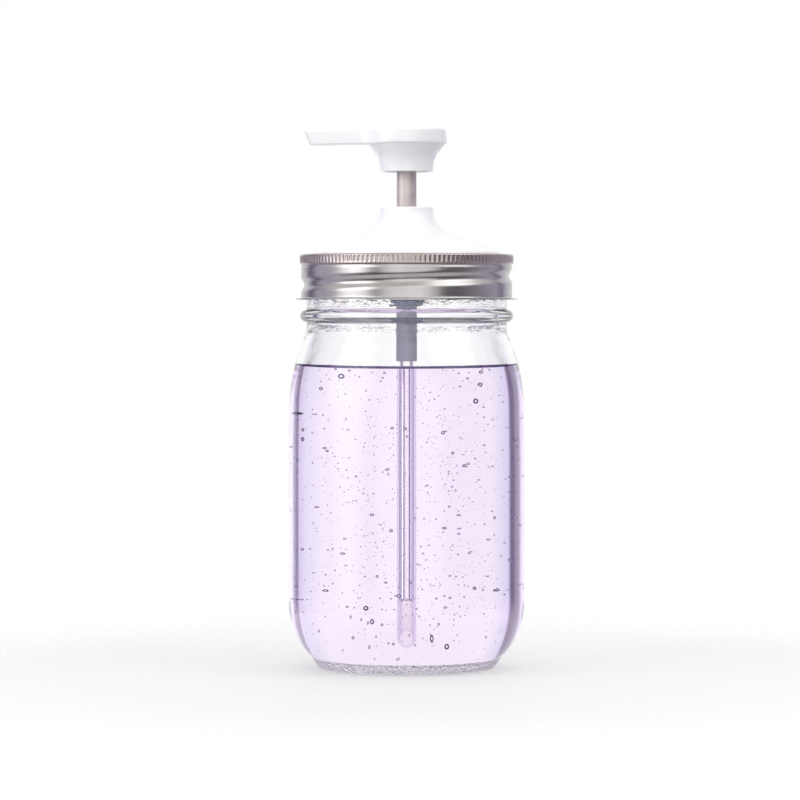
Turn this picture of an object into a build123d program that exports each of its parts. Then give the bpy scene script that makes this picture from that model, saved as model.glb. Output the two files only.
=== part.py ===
from build123d import *
from math import radians, sqrt, tan
import os

# Soap pump dispenser: a screw-band glass jar with a lotion pump in its lid insert.
# Millimetres. The origin is the centre of the ring that the jar stands on, +Z is up,
# and the nozzle points along -X. Every turned piece lies on the Z axis.

os.makedirs("parts", exist_ok=True)

# ---- Driving dimensions ----------------------------------------------------------------

# Jar glass
BODY_R = 39.13              # outside radius of the straight body
WALL = 2.8                  # wall of the body
FOOT_R = 28.9               # outer edge of the flat ring that the jar stands on
FOOT_WIDTH = 1.9            # width of that flat ring
HEEL_TOP_Z = 21.0           # where the rounded heel meets the straight body
BODY_TOP_Z = 60.0           # where the shoulder's long curve starts
NECK_START_Z = 112.3        # where the shoulder runs into the neck
NECK_R = 33.2
MOUTH_R = 29.9              # inside radius of the neck
BEAD_Z = 116.5              # middle height of the transfer bead
BEAD_R = 35.3
BEAD_HALF = 2.1             # half the bead's height
RIM_Z = 133.8               # sealing rim
RIM_ROUND = 1.2             # rounding of the rim's two edges
FLOOR_Z = 4.4               # inside floor at its edge
FLOOR_CROWN = 0.6           # how much the floor rises in the middle
PUSH_UP = 2.0               # how much the underside rises in the middle
# Points of the shoulder as (radius, height): outside upwards, and inside downwards
SHOULDER = ((38.96, 80.0), (38.55, 92.0), (37.0, 100.6), (34.9, 107.0))
SHOULDER_INSIDE = ((31.9, 106.4), (34.3, 99.6), (35.8, 91.6), (36.15, 80.0))
HEEL_KINK = (31.7, 3.5)     # where the foot's small curve meets the heel's large one
FLOOR_EDGE_R = 27.0
FOOT_MIDDLE = (30.7, 1.5)   # a point of the foot's curve
HEEL_MIDDLE = (36.7, 10.5)  # a point of the heel's curve, outside and inside
HEEL_MIDDLE_INSIDE = (33.9, 10.2)

# Soap
LEVEL_Z = 99.2              # surface of the soap in the jar
COLUMN_Z = 22.7             # surface of the soap inside the dip tube

# Screw thread, the same lead on glass and band
LEAD = 6.35
GLASS_THREAD_RIDGE = 1.35   # radius of the round ridge's section
GLASS_THREAD_R = 33.0       # radius at which that section is centred
GLASS_THREAD_ANGLES = (-115.0, 285.0)
ROLLED_BOTTOM_R = 33.9      # outside radius at the bottom of the band's rolled groove
ROLLED_GROOVE = 2.1         # radius of the groove's round section
ROLLED_ANGLES = (130.0, 410.0)
GROOVE_Z_AT_LEFT = 126.7    # height of the groove's middle at the jar's left side, 180 degrees
THREAD_ABOVE_GROOVE = 2.6   # the glass ridge runs this far above the band's groove

# Screw band
SHEET = 0.35
BAND_R = 34.95              # outside of the straight wall
BAND_TOP_Z = 136.9
BAND_MOUTH_R = 31.4         # hole in the top of the band
BAND_BEAD_R = 35.45         # outside of the knurled bead
BAND_BEAD_Z = (133.9, 136.2)
BAND_LIP_R = 36.8
BAND_BOTTOM_Z = 121.9
KNURLS = 140
KNURL_CUT_R = 0.4
KNURL_DEPTH = 0.15

# Lid insert and its seal
FLANGE_R = 33.35            # passes through the band's rolled thread
FLANGE = 1.5                # thickness of the insert's flange
SEAL = 1.15                 # thickness of the lid seal
SEAL_R = (30.2, 33.2)
DOME_FOOT_R = 31.1          # the dome stands up through the band's hole
DOME_TOP_R = 8.8
DOME_TOP_Z = 152.5
DOME_NECK_Z = 151.5         # where the dome's side turns straight up
DOME_BRIM_Z = 137.38        # top of the upright edge at the dome's foot
DOME_TOP_ROUND = 0.45
# Points of the dome's curve as (radius, height): outside downwards, and inside upwards
DOME = ((10.2, 147.0), (12.6, 144.3), (17.9, 141.8), (26.4, 139.6))
DOME_INSIDE = ((25.9, 138.0), (17.3, 140.3), (11.5, 143.1))
DOME_INSIDE_R = 29.3        # where the hollow under the dome starts
DOME_INSIDE_TOP_Z = 146.6   # where that hollow meets the boss
ROOF = 1.6
STEM_HOLE_R = 3.45
BOSS_R = (6.9, 8.4)         # tube inside the dome that takes the pump
BOSS_BOTTOM_Z = 143.6

# Pump housing
CHAMBER_R = (4.65, 5.65)
CHAMBER_Z = (119.1, 147.5)
CHAMBER_FLOOR = 1.2
HOUSING_FLANGE_R = 8.2
HOUSING_FLANGE = 1.4
GASKET = 0.7
TAIL_R = 3.45
TAIL_Z = 101.9
PORT_R = 1.0                # inlet port under the ball
SEAT_Z = 112.0              # foot of the ball's 45 degree seat
BALL_BORE_R = 2.25
VENT_R = 0.5
VENT_Z = 135.0
FLUTES = 12
FLUTE_R = 0.35
FLUTE_TOP_Z = 124.0

# Dip tube
TUBE_R = (1.7, 2.3)
TUBE_Z = (12.2, 111.0)
TIP_ANGLE = 40.0            # slope of the tube's cut end, lowest towards -Y

# Valves, spring and piston
INLET_BALL_R = 1.75
CAGE_FLANGE_R = 4.5
CAGE_FLANGE = 0.9
CAGE_REACH = 3.3            # how far the cage's spigot reaches down
CAGE_SLOT = 1.2             # width of the cross slots that let the soap past the ball
CAGE_COLLAR = 1.0           # uncut part of the spigot under the flange
SPRING_R = 3.0              # mean radius of the coil
WIRE_R = 0.35
COILS = 8
SEAL_Z = (141.5, 145.8)     # the piston seal's lips
SEAL_HUB_TOP_Z = 144.0
SEAL_LIP = 0.7
SEAL_WEB_RISE = 0.9         # how far above the seal's foot its web starts
SEAL_HUB = 0.55             # wall of the seal's hub
STEM_R = 2.7
STEM_BORE_R = 1.0
STEM_Z = (140.6, 171.0)
BASE_R = 4.0                # the piston base's flange, between spring and seal
BASE_SPIGOT_R = 2.2         # its spigot, which keeps the spring in line
BASE_FLOOR = 0.6            # the step that the stem stands on
BASE_Z = (136.6, 140.0)     # the spigot's foot and the flange's underside
SLEEVE_R = (2.76, 3.25)
SLEEVE_Z = (144.1, 168.0)
OUTLET_BALL_R = 1.5
OUTLET_BORE_R = 2.0
OUTLET_SEAT_Z = 167.7

# Guide and wiper
GUIDE_BORE_R = 3.32
GUIDE_SPIGOT_Z = 146.0
GUIDE_Z = (144.4, 149.4)
WIPER_R = (3.30, 5.2)

# Actuator head
HEAD_BOTTOM_Z = 164.2
PLATE_Z = 173.4
HEAD_TOP_Z = 178.7
PLATE_R = 13.5
PLATE_TOP_ROUND = 1.3       # rounding of the plate's upper edge
SKIRT_R = (8.8, 12.8)       # trumpet skirt, at its foot and where it meets the plate
SKIRT = ((9.3, 168.2), (10.2, 170.2))
SKIRT_WALL = 1.3
POST_R = 4.6                # post that takes the stem
CAVITY_TOP_Z = 171.0
NOZZLE_REACH = 34.7
NOZZLE_WIDTH = (9.6, 7.4)   # at the plate and at the tip
NOZZLE_BLEND = 7.0          # inside corner between plate and arm
NOZZLE_TIP_ROUND = 1.8      # the tip's two upright corners
TIP_SLOPE = 27.0            # degrees that the tip's face leans under the arm
CHANNEL_R = 1.4
CHANNEL_Z = 175.9

# Clearances
SLIP = 0.03                 # between fixed pieces that sit in each other
RUNNING = 0.05              # between pieces that slide or turn on each other
LIQUID_GAP = 0.1            # the soap is drawn this far inside the glass and round the tube


# ---- Shared shapes ---------------------------------------------------------------------

def ring_section(inner, outer, bottom, top, mode=Mode.ADD):
    """A rectangle in an XZ section, which a revolve turns into a ring or a disc."""
    with Locations(((inner + outer) / 2, (bottom + top) / 2)):
        Rectangle(outer - inner, top - bottom, mode=mode)


def bore_outline(gap):
    """The jar's inside as a closed line from the axis, gap millimetres clear of the glass."""
    mouth_r = MOUTH_R - gap
    wall_r = BODY_R - WALL - gap
    floor_z = FLOOR_Z + gap
    Polyline((0, floor_z + FLOOR_CROWN), (0, RIM_Z), (mouth_r, RIM_Z), (mouth_r, NECK_START_Z + 1))
    Spline(
        (mouth_r, NECK_START_Z + 1),
        *[(r - gap, z) for r, z in SHOULDER_INSIDE],
        (wall_r, BODY_TOP_Z),
        tangents=[(0, -1), (0, -1)],
    )
    Line((wall_r, BODY_TOP_Z), (wall_r, HEEL_TOP_Z))
    heel_r, heel_z = HEEL_MIDDLE_INSIDE
    ThreePointArc((wall_r, HEEL_TOP_Z), (heel_r - gap, heel_z + gap), (FLOOR_EDGE_R, floor_z))
    TangentArc((0, floor_z + FLOOR_CROWN), (FLOOR_EDGE_R, floor_z), tangent=(1, 0))


def thread_height(angle):
    """Height of the rolled groove's middle at an angle about Z, in degrees."""
    return GROOVE_Z_AT_LEFT + LEAD * (angle - 180.0) / 360.0


def coil(radius, section, angles, low, mode):
    """A round section swept up a helix, with round ends. It starts at height low."""
    first, last = angles
    with BuildLine(Plane.XY.offset(low)) as helix:
        Helix(LEAD, LEAD * (last - first) / 360.0, radius)
    path = helix.wires()[0].rotate(Axis.Z, first)
    with BuildSketch(Plane(path @ 0, z_dir=path % 0)) as outline:
        Circle(section)
    sweep(outline.sketch, path=path, is_frenet=True, mode=mode)
    for end in (path @ 0, path @ 1):
        with Locations(end):
            Sphere(section, mode=mode)


def save(piece, name):
    """Labels a finished piece and writes its STEP file."""
    piece.part.label = name
    export_step(piece.part, f"parts/{name}.step")


# ---- Jar -------------------------------------------------------------------------------

with BuildPart() as jar_glass:
    with BuildSketch(Plane.XZ) as jar_section:
        with BuildLine():
            TangentArc((0, PUSH_UP), (FOOT_R - FOOT_WIDTH, 0), tangent=(1, 0))
            Line((FOOT_R - FOOT_WIDTH, 0), (FOOT_R, 0))
            ThreePointArc((FOOT_R, 0), FOOT_MIDDLE, HEEL_KINK)
            ThreePointArc(HEEL_KINK, HEEL_MIDDLE, (BODY_R, HEEL_TOP_Z))
            Line((BODY_R, HEEL_TOP_Z), (BODY_R, BODY_TOP_Z))
            Spline(
                (BODY_R, BODY_TOP_Z),
                *SHOULDER,
                (NECK_R, NECK_START_Z),
                tangents=[(0, 1), (0, 1)],
            )
            bead_foot = (NECK_R, BEAD_Z - BEAD_HALF)
            bead_top = (NECK_R, BEAD_Z + BEAD_HALF)
            Line((NECK_R, NECK_START_Z), bead_foot)
            ThreePointArc(bead_foot, (BEAD_R, BEAD_Z), bead_top)
            Polyline(bead_top, (NECK_R, RIM_Z), (0, RIM_Z), (0, PUSH_UP))
        make_face()
        with BuildLine():
            bore_outline(0)
        make_face(mode=Mode.SUBTRACT)
        fillet(jar_section.vertices().group_by(Axis.Y)[-1], RIM_ROUND)
    revolve()
    coil(
        GLASS_THREAD_R,
        GLASS_THREAD_RIDGE,
        GLASS_THREAD_ANGLES,
        thread_height(GLASS_THREAD_ANGLES[0]) + THREAD_ABOVE_GROOVE,
        Mode.ADD,
    )
save(jar_glass, "jar_glass")

with BuildPart() as soap_fill:
    with BuildSketch(Plane.XZ):
        with BuildLine():
            bore_outline(LIQUID_GAP)
        make_face()
        ring_section(0, BODY_R, LEVEL_Z, RIM_Z, Mode.SUBTRACT)
        ring_section(
            TUBE_R[0] - LIQUID_GAP,
            TUBE_R[1] + LIQUID_GAP,
            TUBE_Z[0] - LIQUID_GAP,
            LEVEL_Z,
            Mode.SUBTRACT,
        )
        ring_section(0, TUBE_R[0] - LIQUID_GAP, COLUMN_Z, LEVEL_Z, Mode.SUBTRACT)
    revolve()
save(soap_fill, "soap_fill")

# ---- Screw band ------------------------------------------------------------------------

with BuildPart() as screw_band:
    wall_r = BAND_R - SHEET / 2
    bead_r = BAND_BEAD_R - SHEET / 2
    with BuildSketch(Plane.XZ):
        with BuildLine():
            FilletPolyline(
                (BAND_MOUTH_R, BAND_TOP_Z - SHEET / 2),
                (bead_r, BAND_TOP_Z - SHEET / 2),
                (bead_r, BAND_BEAD_Z[0] - 0.3),
                (wall_r, BAND_BEAD_Z[0] - 0.6),
                (wall_r, BAND_BOTTOM_Z + SHEET / 2),
                (BAND_LIP_R, BAND_BOTTOM_Z + SHEET / 2),
                radius=[0.7, 0.25, 0.25, 0.8],
            )
        trace(line_width=SHEET)
    revolve()
    knurl_height = BAND_BEAD_Z[1] - BAND_BEAD_Z[0]
    with BuildSketch(Plane.XY.offset(BAND_BEAD_Z[0])):
        with PolarLocations(BAND_BEAD_R + KNURL_CUT_R - KNURL_DEPTH, KNURLS):
            Circle(KNURL_CUT_R)
    extrude(amount=knurl_height, mode=Mode.SUBTRACT)
    groove_start = thread_height(ROLLED_ANGLES[0])
    groove_r = ROLLED_BOTTOM_R + ROLLED_GROOVE
    coil(groove_r, ROLLED_GROOVE + SHEET, ROLLED_ANGLES, groove_start, Mode.ADD)
    coil(groove_r, ROLLED_GROOVE, ROLLED_ANGLES, groove_start, Mode.SUBTRACT)
    with BuildSketch(Plane.XZ):
        ring_section(BAND_R, BODY_R, BAND_BOTTOM_Z + 1.0, BAND_BEAD_Z[0] - 0.5)
    revolve(mode=Mode.SUBTRACT)
save(screw_band, "screw_band")

# ---- Lid insert ------------------------------------------------------------------------

flange_z = RIM_Z + SLIP + SEAL
flange_top_z = flange_z + FLANGE

with BuildPart() as lid_seal:
    with BuildSketch(Plane.XZ):
        ring_section(*SEAL_R, RIM_Z + SLIP, flange_z)
    revolve()
save(lid_seal, "lid_seal")

with BuildPart() as lid_dome:
    with BuildSketch(Plane.XZ):
        with BuildLine():
            Polyline(
                (BOSS_R[0], BOSS_BOTTOM_Z),
                (BOSS_R[0], DOME_TOP_Z - ROOF),
                (STEM_HOLE_R, DOME_TOP_Z - ROOF),
                (STEM_HOLE_R, DOME_TOP_Z),
                (DOME_TOP_R, DOME_TOP_Z),
                (DOME_TOP_R, DOME_NECK_Z),
            )
            Spline(
                (DOME_TOP_R, DOME_NECK_Z),
                *DOME,
                (DOME_FOOT_R, DOME_BRIM_Z),
                tangents=[(0, -1), (0.55, -1)],
            )
            Polyline(
                (DOME_FOOT_R, DOME_BRIM_Z),
                (DOME_FOOT_R, flange_top_z),
                (FLANGE_R, flange_top_z),
                (FLANGE_R, flange_z),
                (DOME_INSIDE_R, flange_z),
                (DOME_INSIDE_R, flange_top_z),
            )
            Spline(
                (DOME_INSIDE_R, flange_top_z),
                *DOME_INSIDE,
                (BOSS_R[1], DOME_INSIDE_TOP_Z),
                tangents=[(-0.8, 1), (-0.25, 1)],
            )
            Polyline(
                (BOSS_R[1], DOME_INSIDE_TOP_Z),
                (BOSS_R[1], BOSS_BOTTOM_Z),
                (BOSS_R[0], BOSS_BOTTOM_Z),
            )
        make_face()
    revolve()
    top_edges = lid_dome.edges().filter_by(GeomType.CIRCLE).group_by(Axis.Z)[-1]
    fillet(top_edges.sort_by(SortBy.RADIUS)[-1], DOME_TOP_ROUND)
save(lid_dome, "lid_dome")

# ---- Pump body -------------------------------------------------------------------------

gasket_z = (BOSS_BOTTOM_Z - GASKET, BOSS_BOTTOM_Z)
housing_flange_z = (gasket_z[0] - HOUSING_FLANGE, gasket_z[0])
floor_z = CHAMBER_Z[0] + CHAMBER_FLOOR

with BuildPart() as pump_housing:
    with BuildSketch(Plane.XZ):
        ring_section(0, CHAMBER_R[1], *CHAMBER_Z)
        ring_section(0, HOUSING_FLANGE_R, *housing_flange_z)
        ring_section(0, TAIL_R, TAIL_Z, CHAMBER_Z[0])
        ring_section(0, CHAMBER_R[0], floor_z, CHAMBER_Z[1], Mode.SUBTRACT)
        ring_section(0, BALL_BORE_R, SEAT_Z, floor_z, Mode.SUBTRACT)
        with BuildLine():
            seat_rise = BALL_BORE_R - PORT_R
            Polyline(
                (PORT_R, SEAT_Z),
                (BALL_BORE_R, SEAT_Z + seat_rise),
                (BALL_BORE_R, SEAT_Z),
                close=True,
            )
        make_face()
        ring_section(0, PORT_R, TUBE_Z[1], SEAT_Z, Mode.SUBTRACT)
        ring_section(0, TUBE_R[1] + SLIP, TAIL_Z, TUBE_Z[1] + 0.2, Mode.SUBTRACT)
    revolve()
    flute_length = FLUTE_TOP_Z - CHAMBER_Z[0]
    with BuildSketch(Plane.XY.offset(CHAMBER_Z[0])):
        with PolarLocations(CHAMBER_R[1], FLUTES):
            Circle(FLUTE_R)
    extrude(amount=flute_length, mode=Mode.SUBTRACT)
    with BuildSketch(Plane.YZ):
        with Locations((0, VENT_Z)):
            Circle(VENT_R)
    extrude(amount=HOUSING_FLANGE_R, mode=Mode.SUBTRACT)
save(pump_housing, "pump_housing")

with BuildPart() as housing_gasket:
    with BuildSketch(Plane.XZ):
        ring_section(CHAMBER_R[1] + SLIP, HOUSING_FLANGE_R, *gasket_z)
    revolve()
save(housing_gasket, "housing_gasket")

with BuildPart() as stem_guide:
    with BuildSketch(Plane.XZ):
        ring_section(GUIDE_BORE_R, BOSS_R[0] - SLIP, *GUIDE_Z)
        ring_section(GUIDE_BORE_R, CHAMBER_R[0] - SLIP, GUIDE_SPIGOT_Z, CHAMBER_Z[1])
        ring_section(
            CHAMBER_R[0] - SLIP, CHAMBER_R[1] + SLIP, GUIDE_Z[0], CHAMBER_Z[1], Mode.SUBTRACT
        )
        ring_section(
            GUIDE_BORE_R, CHAMBER_R[0] - SLIP, GUIDE_Z[0], GUIDE_SPIGOT_Z, Mode.SUBTRACT
        )
    revolve()
save(stem_guide, "stem_guide")

with BuildPart() as stem_wiper:
    with BuildSketch(Plane.XZ):
        ring_section(*WIPER_R, GUIDE_Z[1], DOME_TOP_Z - ROOF)
    revolve()
save(stem_wiper, "stem_wiper")

with BuildPart() as dip_tube:
    with BuildSketch(Plane.XZ):
        ring_section(*TUBE_R, *TUBE_Z)
    revolve()
    tip = Plane((0, -TUBE_R[1], TUBE_Z[0])).rotated((TIP_ANGLE, 0, 0))
    split(bisect_by=tip, keep=Keep.TOP)
save(dip_tube, "dip_tube")

# ---- Inlet valve and spring ------------------------------------------------------------

seat_tip_z = SEAT_Z - PORT_R        # where the 45 degree seat's cone would come to a point

with BuildPart() as inlet_ball:
    with Locations((0, 0, seat_tip_z + INLET_BALL_R * sqrt(2) + SLIP)):
        Sphere(INLET_BALL_R)
save(inlet_ball, "inlet_ball")

with BuildPart() as ball_cage:
    with BuildSketch(Plane.XZ):
        ring_section(PORT_R, CAGE_FLANGE_R, floor_z, floor_z + CAGE_FLANGE)
        ring_section(PORT_R, BALL_BORE_R - SLIP, floor_z - CAGE_REACH, floor_z)
    revolve()
    with BuildSketch(Plane.XY.offset(floor_z - CAGE_REACH)):
        with PolarLocations(0, 2, 0, 90):
            Rectangle(2 * BALL_BORE_R, CAGE_SLOT)
    extrude(amount=CAGE_REACH - CAGE_COLLAR, mode=Mode.SUBTRACT)
save(ball_cage, "ball_cage")

spring_z = (floor_z + CAGE_FLANGE + SLIP, BASE_Z[1] - SLIP)

with BuildPart() as return_spring:
    spring_travel = spring_z[1] - spring_z[0] - 2 * WIRE_R
    with BuildLine(Plane.XY.offset(spring_z[0] + WIRE_R)) as spring_path:
        Helix(spring_travel / COILS, spring_travel, SPRING_R)
    coil_path = spring_path.wires()[0]
    with BuildSketch(Plane(coil_path @ 0, z_dir=coil_path % 0)):
        Circle(WIRE_R)
    sweep(path=coil_path, is_frenet=True)
save(return_spring, "return_spring")

# ---- Piston and stem -------------------------------------------------------------------

with BuildPart() as piston_base:
    with BuildSketch(Plane.XZ):
        ring_section(0, BASE_R, BASE_Z[1], BASE_Z[1] + BASE_FLOOR)
        ring_section(STEM_R + SLIP, BASE_R, BASE_Z[1], SEAL_Z[0] - RUNNING)
        ring_section(0, BASE_SPIGOT_R, *BASE_Z)
        ring_section(0, STEM_BORE_R, BASE_Z[0], SEAL_Z[0], Mode.SUBTRACT)
    revolve()
save(piston_base, "piston_base")

with BuildPart() as piston_seal:
    lip_r = (CHAMBER_R[0] - RUNNING - SEAL_LIP, CHAMBER_R[0] - RUNNING)
    hub_r = (STEM_R + RUNNING, STEM_R + RUNNING + SEAL_HUB)
    with BuildSketch(Plane.XZ):
        ring_section(*lip_r, *SEAL_Z)
        ring_section(hub_r[0], lip_r[0], SEAL_Z[0] + SEAL_WEB_RISE, SEAL_HUB_TOP_Z)
        ring_section(*hub_r, SEAL_Z[0], SEAL_HUB_TOP_Z)
    revolve()
save(piston_seal, "piston_seal")

with BuildPart() as piston_stem:
    with BuildSketch(Plane.XZ):
        ring_section(STEM_BORE_R, STEM_R, *STEM_Z)
        ring_section(0, OUTLET_BORE_R, OUTLET_SEAT_Z, STEM_Z[1], Mode.SUBTRACT)
        with BuildLine():
            outlet_rise = OUTLET_BORE_R - STEM_BORE_R
            Polyline(
                (STEM_BORE_R, OUTLET_SEAT_Z),
                (OUTLET_BORE_R, OUTLET_SEAT_Z + outlet_rise),
                (OUTLET_BORE_R, OUTLET_SEAT_Z),
                close=True,
            )
        make_face()
    revolve()
save(piston_stem, "piston_stem")

with BuildPart() as stem_sleeve:
    with BuildSketch(Plane.XZ):
        ring_section(*SLEEVE_R, *SLEEVE_Z)
    revolve()
save(stem_sleeve, "stem_sleeve")

with BuildPart() as outlet_ball:
    outlet_tip_z = OUTLET_SEAT_Z - STEM_BORE_R
    with Locations((0, 0, outlet_tip_z + OUTLET_BALL_R * sqrt(2) + SLIP)):
        Sphere(OUTLET_BALL_R)
save(outlet_ball, "outlet_ball")

# ---- Actuator head ---------------------------------------------------------------------

with BuildPart() as actuator_head:
    with BuildSketch(Plane.XY.offset(PLATE_Z)) as plan:
        Circle(PLATE_R)
        with BuildLine():
            half_root = NOZZLE_WIDTH[0] / 2
            half_tip = NOZZLE_WIDTH[1] / 2
            Polyline(
                (0, half_root),
                (-NOZZLE_REACH, half_tip),
                (-NOZZLE_REACH, -half_tip),
                (0, -half_root),
                close=True,
            )
        make_face()
        corners = plan.vertices().filter_by_position(Axis.X, -PLATE_R, -PLATE_R / 2)
        fillet(corners, NOZZLE_BLEND)
        fillet(plan.vertices().group_by(Axis.X)[0], NOZZLE_TIP_ROUND)
    extrude(amount=HEAD_TOP_Z - PLATE_Z)
    fillet(actuator_head.edges().group_by(Axis.Z)[-1], PLATE_TOP_ROUND)
    with BuildSketch(Plane.XZ):
        under_tip = (HEAD_TOP_Z - PLATE_Z) * tan(radians(TIP_SLOPE))
        Polygon(
            (-NOZZLE_REACH, HEAD_TOP_Z),
            (-NOZZLE_REACH, PLATE_Z),
            (under_tip - NOZZLE_REACH, PLATE_Z),
            align=None,
        )
    extrude(amount=NOZZLE_WIDTH[0], both=True, mode=Mode.SUBTRACT)
    with BuildSketch(Plane.XZ):
        with BuildLine():
            Line((0, HEAD_BOTTOM_Z), (SKIRT_R[0], HEAD_BOTTOM_Z))
            Spline(
                (SKIRT_R[0], HEAD_BOTTOM_Z),
                *SKIRT,
                (SKIRT_R[1], PLATE_Z),
                tangents=[(0.03, 1), (1, 0.75)],
            )
            Polyline((SKIRT_R[1], PLATE_Z), (0, PLATE_Z), (0, HEAD_BOTTOM_Z))
        make_face()
        ring_section(
            POST_R, SKIRT_R[0] - SKIRT_WALL, HEAD_BOTTOM_Z, CAVITY_TOP_Z, Mode.SUBTRACT
        )
        ring_section(0, SLEEVE_R[1] + SLIP, HEAD_BOTTOM_Z, SLEEVE_Z[1] + SLIP, Mode.SUBTRACT)
        ring_section(0, STEM_R + SLIP, SLEEVE_Z[1], STEM_Z[1] + SLIP, Mode.SUBTRACT)
    revolve()
    with BuildSketch(Plane.XY.offset(STEM_Z[1])):
        Circle(CHANNEL_R)
    extrude(amount=CHANNEL_Z - STEM_Z[1], mode=Mode.SUBTRACT)
    with BuildSketch(Plane.YZ):
        with Locations((0, CHANNEL_Z)):
            Circle(CHANNEL_R)
    extrude(amount=-NOZZLE_REACH, mode=Mode.SUBTRACT)
save(actuator_head, "actuator_head")
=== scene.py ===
"""The looks of the soap pump dispenser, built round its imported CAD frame.

Shapes are worked out in millimetres in the frame's own axes and scaled to metres as each
mesh is made. Turned pieces lie on the Z axis, and the nozzle points along -X.
"""
import random
from math import atan2, ceil, cos, hypot, pi, radians, sin, sqrt, tan

import bmesh
import bpy
import numpy as np
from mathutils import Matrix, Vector


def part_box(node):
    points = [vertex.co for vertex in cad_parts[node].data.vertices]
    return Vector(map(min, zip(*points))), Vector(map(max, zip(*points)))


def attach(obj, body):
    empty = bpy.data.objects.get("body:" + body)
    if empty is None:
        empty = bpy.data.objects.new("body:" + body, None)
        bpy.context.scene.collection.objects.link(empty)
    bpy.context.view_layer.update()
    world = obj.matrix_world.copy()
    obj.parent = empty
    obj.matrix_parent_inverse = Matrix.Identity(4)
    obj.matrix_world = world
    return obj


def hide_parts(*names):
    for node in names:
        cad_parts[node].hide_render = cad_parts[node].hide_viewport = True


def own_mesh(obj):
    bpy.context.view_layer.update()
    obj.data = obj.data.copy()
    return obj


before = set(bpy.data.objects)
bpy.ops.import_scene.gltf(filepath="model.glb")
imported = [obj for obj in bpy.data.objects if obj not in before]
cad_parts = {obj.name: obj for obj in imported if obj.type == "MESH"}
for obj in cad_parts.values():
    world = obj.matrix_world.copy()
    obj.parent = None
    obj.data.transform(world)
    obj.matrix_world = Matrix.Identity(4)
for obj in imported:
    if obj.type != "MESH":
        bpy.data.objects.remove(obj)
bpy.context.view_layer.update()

MM = 0.001

# ---- Sizes, in millimetres ---------------------------------------------------------------

BODY_R = 39.13
WALL = 2.8
FOOT_R = 28.9
FOOT_WIDTH = 1.9
HEEL_TOP_Z = 21.0
BODY_TOP_Z = 60.0
NECK_START_Z = 112.3
NECK_R = 33.2
MOUTH_R = 29.9
BEAD_Z = 116.5
BEAD_R = 35.3
BEAD_HALF = 2.1
RIM_Z = 133.8
RIM_ROUND = 1.2
FLOOR_Z = 4.4
FLOOR_CROWN = 0.6
FLOOR_EDGE_R = 27.0
PUSH_UP = 2.0
SHOULDER = [(38.96, 80.0), (38.55, 92.0), (37.0, 100.6), (34.9, 107.0)]
SHOULDER_INSIDE = [(31.9, 106.4), (34.3, 99.6), (35.8, 91.6), (36.15, 80.0)]

LEVEL_Z = 99.2
MENISCUS = 1.1
COLUMN_Z = 22.7

LEAD = 6.35
GROOVE_Z_AT_LEFT = 126.7
GROOVE_DEPTH = 1.05
GROOVE_HALF = 2.7
GROOVE_ANGLES = (115.0, 425.0)
GROOVE_FADE = 35.0
THREAD_ABOVE_GROOVE = 2.6
THREAD_HEIGHT = 1.15
THREAD_HALF = 1.5
THREAD_ANGLES = (-125.0, 295.0)
THREAD_Z = (121.0, 133.0)
THREAD_FADE = 12.0

SHEET = 0.35
BAND_R = 34.95
BAND_MOUTH_R = 31.4
BAND_TOP_Z = 136.9
BAND_BEAD_R = 35.4
BAND_BEAD_Z = (133.9, 136.2)
BAND_LIP_R = 36.8
BAND_BOTTOM_Z = 121.9
KNURLS = 140
KNURL_DEPTH = 0.16

FLANGE_R = 33.35
FLANGE_BORE_R = 29.3
FLANGE_THICK = 1.5
SEAL_SLIP = 0.03
SEAL_THICK = 1.15
DOME_TOP_Z = 152.5
HEAD_BOTTOM_Z = 164.2
PLATE_Z = 173.4
HEAD_TOP_Z = 178.7
PLATE_R = 13.5
NOZZLE_REACH = 34.7
NOZZLE_HALF = (4.8, 3.7)
NOZZLE_BLEND = 7.0
TIP_SLOPE = radians(27.0)
CHANNEL_R = 1.4
CHANNEL_Z = 175.9
RISER_FOOT_Z = 170.5

SLEEVE_R = (2.76, 3.25)
SLEEVE_Z = (144.1, 168.0)
TUBE_R = (1.7, 2.3)
TUBE_Z = (12.2, 111.0)
TIP_ANGLE = radians(40.0)
TIP_TOP_Z = 17.5
CHAMBER_R = (4.65, 5.65)
CHAMBER_Z = (119.1, 147.5)
TAIL_R = 3.45
TAIL_Z = 101.9
FLUTES = 12
FLUTE_TOP_Z = 124.6
FLUTE_DEPTH = 0.4

STUDIO_FLOOR_R = 210.0
STUDIO_FLOOR_FADE = (120.0, 205.0)
STUDIO_FLOOR_Z = -0.2

GLASS_IOR = 1.5
TUBE_IOR = 1.5
SOAP_IOR = 1.4


# ---- Outlines ----------------------------------------------------------------------------

def spline(points, steps, start=None, end=None):
    """Points on a smooth curve through the given ones. start and end are directions."""
    p = np.array(points, float)
    chord = np.linalg.norm(np.diff(p, axis=0), axis=1)
    slope = np.zeros_like(p)
    for i in range(1, len(p) - 1):
        a, b = chord[i - 1], chord[i]
        slope[i] = ((p[i] - p[i - 1]) / a * b + (p[i + 1] - p[i]) / b * a) / (a + b)
    for i, given, one, length in ((0, start, 1, chord[0]), (-1, end, -2, chord[-1])):
        if given is None:
            slope[i] = (p[one] - p[i]) / length * (1 if i == 0 else -1)
        else:
            slope[i] = np.array(given, float) / np.linalg.norm(given)
    made = []
    for i, length in enumerate(chord):
        for k in range(steps):
            t = k / steps
            made.append(
                (2 * t**3 - 3 * t**2 + 1) * p[i]
                + (t**3 - 2 * t**2 + t) * length * slope[i]
                + (3 * t**2 - 2 * t**3) * p[i + 1]
                + (t**3 - t**2) * length * slope[i + 1]
            )
    return [tuple(q) for q in made] + [tuple(p[-1])]


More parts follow.
